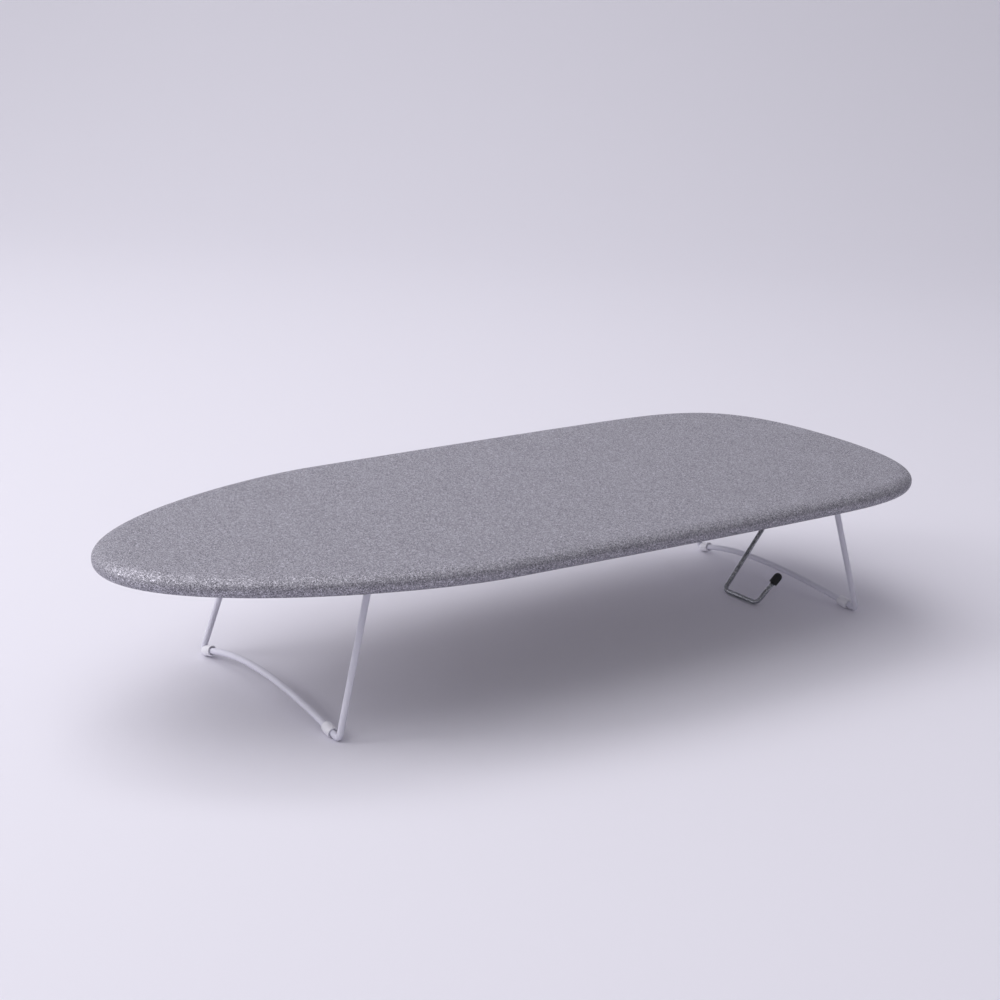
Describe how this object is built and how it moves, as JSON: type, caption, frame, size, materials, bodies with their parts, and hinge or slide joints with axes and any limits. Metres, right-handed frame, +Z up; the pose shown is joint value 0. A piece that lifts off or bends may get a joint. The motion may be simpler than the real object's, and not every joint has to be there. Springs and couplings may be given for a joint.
{
  "type": "ironing board",
  "caption": "Small tabletop ironing board: padded fabric top on a steel mesh deck, folding wire U legs with foot sleeves, and a swinging wire hook for hanging it up.",
  "frame": {"origin": "middle of the bounding box on the floor that the open legs stand on", "axes": "+Z up, -X towards the pointed nose, +X towards the square tail with the hook, +Y across"},
  "size_m": [0.7501, 0.3044, 0.1313],
  "materials": {
    "cover_fabric": "matte silver-grey melange cloth with fine pale flecks",
    "pad_felt": "matte felt",
    "deck_mesh": "dull galvanised expanded steel",
    "white_coat": "smooth semi-gloss white powder coat",
    "elastic": "matte woven elastic",
    "foot_sleeve": "pale, slightly see-through, satin",
    "bracket_steel": "zinc plated sheet, satin",
    "nylon": "white, satin",
    "zinc_wire": "bright zinc plate",
    "black_vinyl": "black, satin",
    "rivet_steel": "plain, satin"
  },
  "bodies": {
    "board": {"cover": "cover_fabric", "pad": "pad_felt", "deck": "deck_mesh", "rim": "white_coat", "hem_elastic": "elastic", "nose_rail": "white_coat", "tail_rail": "white_coat", "hook_rail": "white_coat", "nose_near_bracket": "bracket_steel", "nose_near_bush": "nylon", "nose_near_rivet_1": "rivet_steel", "nose_near_rivet_2": "rivet_steel", "nose_far_bracket": "bracket_steel", "nose_far_bush": "nylon", "nose_far_rivet_1": "rivet_steel", "nose_far_rivet_2": "rivet_steel", "tail_near_bracket": "bracket_steel", "tail_near_bush": "nylon", "tail_near_rivet_1": "rivet_steel", "tail_near_rivet_2": "rivet_steel", "tail_far_bracket": "bracket_steel", "tail_far_bush": "nylon", "tail_far_rivet_1": "rivet_steel", "tail_far_rivet_2": "rivet_steel", "hook_clip": "zinc_wire", "hook_rivet_1": "rivet_steel", "hook_rivet_2": "rivet_steel"},
    "nose_leg": {"nose_leg": "white_coat", "nose_near_sleeve": "foot_sleeve", "nose_near_retainer": "nylon", "nose_far_sleeve": "foot_sleeve", "nose_far_retainer": "nylon"},
    "tail_leg": {"tail_leg": "white_coat", "tail_near_sleeve": "foot_sleeve", "tail_near_retainer": "nylon", "tail_far_sleeve": "foot_sleeve", "tail_far_retainer": "nylon"},
    "hook": {"storage_hook": "zinc_wire", "hook_cap": "black_vinyl"}
  },
  "joints": [
    {"name": "nose_leg_fold", "type": "hinge", "parent": "board", "child": "nose_leg", "pos_m": [-0.21, 0, 0.109], "axis": [0, -1, 0], "range_deg": [0, 105]},
    {"name": "tail_leg_fold", "type": "hinge", "parent": "board", "child": "tail_leg", "pos_m": [0.2757, 0, 0.109], "axis": [0, 1, 0], "range_deg": [0, 105]},
    {"name": "hook_swing", "type": "hinge", "parent": "board", "child": "hook", "pos_m": [0.3336, 0, 0.1157], "axis": [0, 1, 0], "range_deg": [0, 51]}
  ],
  "couplings": [
    {"joint": "hook_swing", "follows": "tail_leg_fold", "ratio": 0.48}
  ]
}
